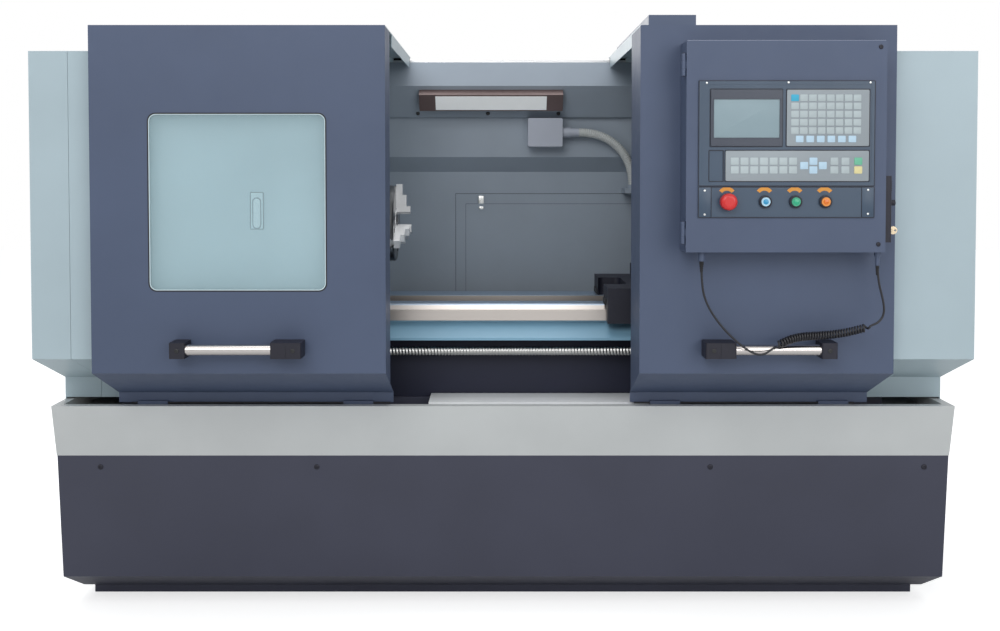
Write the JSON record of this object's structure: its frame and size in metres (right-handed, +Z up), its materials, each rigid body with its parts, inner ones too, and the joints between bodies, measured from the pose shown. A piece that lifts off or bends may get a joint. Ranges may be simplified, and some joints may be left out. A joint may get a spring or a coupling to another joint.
{
  "type": "cnc turning lathe",
  "caption": "Floor-standing flat-bed turning lathe in an enclosure with sliding front doors, a chuck, a tool turret, a tailstock and a hinged operator panel.",
  "frame": {"origin": "on the floor, below the spindle axis and halfway along the chip tray", "axes": "+X along the bed from the headstock to the tailstock, -Y towards the operator, +Z up"},
  "size_m": [2.7, 1.4241, 1.796],
  "materials": {
    "door_paint": "satin dark slate blue-grey paint",
    "pale_paint": "satin pale blue-grey paint",
    "base_paint": "satin dark slate paint",
    "wall_paint": "satin mid-grey paint",
    "casting_paint": "painted casting, grey-green",
    "cast": "machined cast iron",
    "steel": "ground steel",
    "rail_steel": "drawn steel",
    "chrome": "polished chrome",
    "black_plastic": "moulded black plastic",
    "motor_black": "black motor paint",
    "belt_rubber": "ribbed rubber",
    "cord_rubber": "smooth black cord sheath",
    "hose_plastic": "pale corrugated plastic",
    "window_glass": "toughened pane, pale blue-green",
    "lens_glass": "frosted diffuser",
    "panel_paint": "satin slate paint",
    "plate_face": "printed face plate, bare",
    "screen": "display in black frame",
    "keypad": "membrane keys",
    "red": "red plastic",
    "blue": "pale blue plastic",
    "green": "green plastic",
    "orange": "orange plastic",
    "brass": "brass"
  },
  "bodies": {
    "machine": {"base_frame": "base_paint", "base_front_panel": "base_paint", "chip_tray": "pale_paint", "sump_cover": "pale_paint", "bed": "cast", "screw_cover": "pale_paint", "z_screw_supports": "cast", "left_end_cover": "pale_paint", "left_cabinet": "pale_paint", "left_inner_wall": "pale_paint", "right_cabinet": "pale_paint", "flush_latch": "black_plastic", "rear_wall": "wall_paint", "door_rails": "rail_steel", "electric_cabinet": "pale_paint", "lamp_housing": "wall_paint", "lamp_lens": "lens_glass", "junction_box": "pale_paint", "conduit": "hose_plastic", "headstock": "casting_paint", "drive_belt": "belt_rubber", "spindle_motor": "motor_black", "z_servo_motor": "motor_black"},
    "rear_hatch": {"rear_hatch": "wall_paint"},
    "left_door": {"left_door": "door_paint", "left_door_roof": "pale_paint", "door_window": "window_glass", "left_handle_ends": "black_plastic", "left_handle_bar": "chrome"},
    "right_door": {"right_door": "door_paint", "right_door_roof": "pale_paint", "right_handle_ends": "black_plastic", "right_handle_bar": "chrome", "panel_backbox": "panel_paint", "panel_cord": "cord_rubber", "panel_lock": "black_plastic"},
    "panel_cover": {"panel_cover": "panel_paint", "panel_plates": "plate_face", "lcd_screen": "screen", "membrane_keypads": "keypad"},
    "estop": {"estop_button": "red"},
    "blue_push": {"blue_button": "blue"},
    "green_push": {"green_button": "green"},
    "orange_push": {"orange_button": "orange"},
    "lock_key": {"lock_key": "brass"},
    "spindle": {"spindle": "steel", "chuck_body": "steel"},
    "jaw_1": {"chuck_jaw_1": "steel"},
    "jaw_2": {"chuck_jaw_2": "steel"},
    "jaw_3": {"chuck_jaw_3": "steel"},
    "motor_pulley": {"motor_pulley": "steel"},
    "z_screw": {"z_ball_screw": "steel"},
    "carriage": {"saddle": "casting_paint", "x_servo_motor": "motor_black"},
    "cross_slide": {"cross_slide": "cast", "turret_base": "casting_paint"},
    "turret": {"turret_head": "steel"},
    "tailstock": {"tailstock_body": "casting_paint"},
    "quill": {"tailstock_quill": "steel"},
    "handwheel": {"tailstock_handwheel": "chrome"}
  },
  "joints": [
    {"name": "left_door_slide", "type": "slide", "parent": "machine", "child": "left_door", "axis": [1, 0, 0], "range_m": [0, 0.357]},
    {"name": "right_door_slide", "type": "slide", "parent": "machine", "child": "right_door", "axis": [-1, 0, 0], "range_m": [0, 0.357]},
    {"name": "panel_cover_hinge", "type": "hinge", "parent": "right_door", "child": "panel_cover", "pos_m": [0.489, -0.6548, 1.42], "axis": [0, 0, -1], "range_deg": [0, 110]},
    {"name": "rear_hatch_hinge", "type": "hinge", "parent": "machine", "child": "rear_hatch", "pos_m": [0.731, 0.4288, 0.98], "axis": [0, 0, -1], "range_deg": [0, 100]},
    {"name": "estop_press", "type": "slide", "parent": "panel_cover", "child": "estop", "axis": [0, 1, 0], "range_m": [0, 0.005], "stiffness_N_per_m": 1200},
    {"name": "blue_press", "type": "slide", "parent": "panel_cover", "child": "blue_push", "axis": [0, 1, 0], "range_m": [0, 0.004], "stiffness_N_per_m": 800},
    {"name": "green_press", "type": "slide", "parent": "panel_cover", "child": "green_push", "axis": [0, 1, 0], "range_m": [0, 0.004], "stiffness_N_per_m": 800},
    {"name": "orange_press", "type": "slide", "parent": "panel_cover", "child": "orange_push", "axis": [0, 1, 0], "range_m": [0, 0.004], "stiffness_N_per_m": 800},
    {"name": "key_turn", "type": "hinge", "parent": "right_door", "child": "lock_key", "pos_m": [1.0613, -0.622, 1.191], "axis": [1, 0, 0], "range_deg": [0, 90]},
    {"name": "spindle_turn", "type": "hinge", "parent": "machine", "child": "spindle", "pos_m": [-0.5, 0, 1.181], "axis": [1, 0, 0], "continuous": true},
    {"name": "jaw_1_slide", "type": "slide", "parent": "spindle", "child": "jaw_1", "axis": [0, 0, 1], "range_m": [-0.022, 0.01]},
    {"name": "jaw_2_slide", "type": "slide", "parent": "spindle", "child": "jaw_2", "axis": [0, -0.866, -0.5], "range_m": [-0.022, 0.01]},
    {"name": "jaw_3_slide", "type": "slide", "parent": "spindle", "child": "jaw_3", "axis": [0, 0.866, -0.5], "range_m": [-0.022, 0.01]},
    {"name": "motor_pulley_turn", "type": "hinge", "parent": "machine", "child": "motor_pulley", "pos_m": [-1.19, 0.3, 0.76], "axis": [1, 0, 0], "continuous": true},
    {"name": "carriage_slide", "type": "slide", "parent": "machine", "child": "carriage", "axis": [1, 0, 0], "range_m": [-0.64, 0]},
    {"name": "z_screw_turn", "type": "hinge", "parent": "machine", "child": "z_screw", "pos_m": [0.3, -0.235, 0.793], "axis": [1, 0, 0], "continuous": true},
    {"name": "cross_slide_travel", "type": "slide", "parent": "carriage", "child": "cross_slide", "axis": [0, 1, 0], "range_m": [-0.045, 0.15]},
    {"name": "turret_index", "type": "hinge", "parent": "cross_slide", "child": "turret", "pos_m": [0.536, -0.15, 1.16], "axis": [0, 0, 1], "continuous": true},
    {"name": "tailstock_slide", "type": "slide", "parent": "machine", "child": "tailstock", "axis": [1, 0, 0], "range_m": [-0.055, 0]},
    {"name": "quill_slide", "type": "slide", "parent": "tailstock", "child": "quill", "axis": [-1, 0, 0], "range_m": [0, 0.1]},
    {"name": "handwheel_turn", "type": "hinge", "parent": "tailstock", "child": "handwheel", "pos_m": [1.151, 0, 1.181], "axis": [1, 0, 0], "range_deg": [0, 7200]}
  ],
  "couplings": [
    {"joint": "motor_pulley_turn", "follows": "spindle_turn", "ratio": 1.8333},
    {"joint": "jaw_2_slide", "follows": "jaw_1_slide", "ratio": 1},
    {"joint": "jaw_3_slide", "follows": "jaw_1_slide", "ratio": 1},
    {"joint": "z_screw_turn", "follows": "carriage_slide", "rad_per_m": 628.32},
    {"joint": "quill_slide", "follows": "handwheel_turn", "m_per_rad": 0.00079577}
  ]
}
